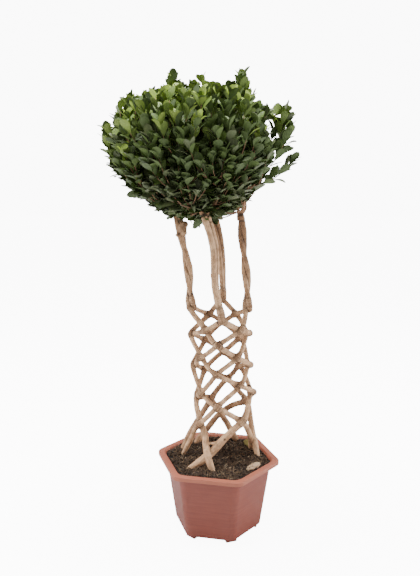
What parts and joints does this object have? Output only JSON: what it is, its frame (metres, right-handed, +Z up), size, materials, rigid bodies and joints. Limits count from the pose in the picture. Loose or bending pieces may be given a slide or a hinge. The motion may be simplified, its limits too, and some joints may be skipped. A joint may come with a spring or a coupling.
{
  "type": "potted lattice trunk ficus",
  "caption": "Ball-crowned ficus whose thin stems are plaited into an open lattice trunk, with twisted columns above, in a six-sided plastic pot of soil.",
  "frame": {"origin": "on the floor, under the middle of the whole plant's footprint", "axes": "+Z up, the way the trunk grows; -Y is the front that the picture shows, +X its right"},
  "size_m": [0.4458, 0.4426, 1.0749],
  "materials": {
    "pot": "matt terracotta-coloured polypropylene with fine horizontal mottling",
    "soil": "dark fibrous bark and peat mulch, moist",
    "bark": "pale beige-tan bark, finely ridged, ringed at the knots",
    "bough_bark": "young reddish-brown bark",
    "foliage": "leathery dark green leaves with a soft sheen, yellow-green young tips"
  },
  "bodies": {
    "root": {"pot": "pot", "soil": "soil", "stem_front_a_upper": "bark", "stem_front_a_middle": "bark", "stem_front_a_foot": "bark", "column_front_a": "bark", "stem_front_b_upper": "bark", "stem_front_b_middle": "bark", "stem_front_b_foot": "bark", "column_front_b": "bark", "stem_right_a_upper": "bark", "stem_right_a_middle": "bark", "stem_right_a_foot": "bark", "column_right_a": "bark", "stem_right_b_upper": "bark", "stem_right_b_middle": "bark", "stem_right_b_foot": "bark", "column_right_b": "bark", "stem_back_a_upper": "bark", "stem_back_a_middle": "bark", "stem_back_a_foot": "bark", "column_back_a": "bark", "stem_back_b_upper": "bark", "stem_back_b_middle": "bark", "stem_back_b_foot": "bark", "column_back_b": "bark", "stem_left_a_upper": "bark", "stem_left_a_middle": "bark", "stem_left_a_foot": "bark", "column_left_a": "bark", "stem_left_b_upper": "bark", "stem_left_b_middle": "bark", "stem_left_b_foot": "bark", "column_left_b": "bark", "bough_front_a": "bough_bark", "bough_front_b": "bough_bark", "bough_right_a": "bough_bark", "bough_right_b": "bough_bark", "bough_back_a": "bough_bark", "bough_back_b": "bough_bark", "bough_left_a": "bough_bark", "bough_left_b": "bough_bark", "leader_front": "bough_bark", "leader_right": "bough_bark", "leader_back": "bough_bark", "leader_left": "bough_bark", "foliage_front_a": "foliage", "foliage_front_b": "foliage", "foliage_right_a": "foliage", "foliage_right_b": "foliage", "foliage_back_a": "foliage", "foliage_back_b": "foliage", "foliage_left_a": "foliage", "foliage_left_b": "foliage", "foliage_top_front": "foliage", "foliage_top_right": "foliage", "foliage_top_back": "foliage", "foliage_top_left": "foliage"}
  },
  "joints": []
}
